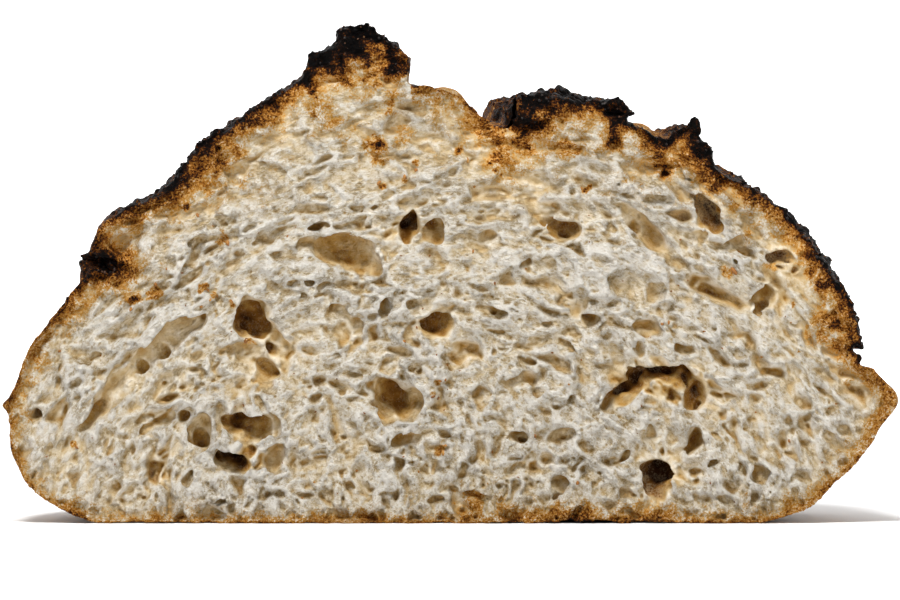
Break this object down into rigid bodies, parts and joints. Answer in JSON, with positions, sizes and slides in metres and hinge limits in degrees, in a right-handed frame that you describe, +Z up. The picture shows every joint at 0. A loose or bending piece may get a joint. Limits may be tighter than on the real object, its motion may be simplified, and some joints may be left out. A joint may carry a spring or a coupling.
{
  "type": "half sourdough loaf",
  "caption": "Half of a round, slashed sourdough loaf with a dark blistered crust, standing on its flat base with its open-crumbed cut face to the front.",
  "frame": {"origin": "middle of the loaf's footprint box, on the surface that it stands on", "axes": "+X to the right along the cut face, +Y back from the cut face into the loaf, +Z up"},
  "size_m": [0.2314, 0.1122, 0.1295],
  "materials": {
    "bread": "matt baked bread, cream crumb with a brown to black crust"
  },
  "bodies": {
    "root": {"loaf": "bread"}
  },
  "joints": []
}
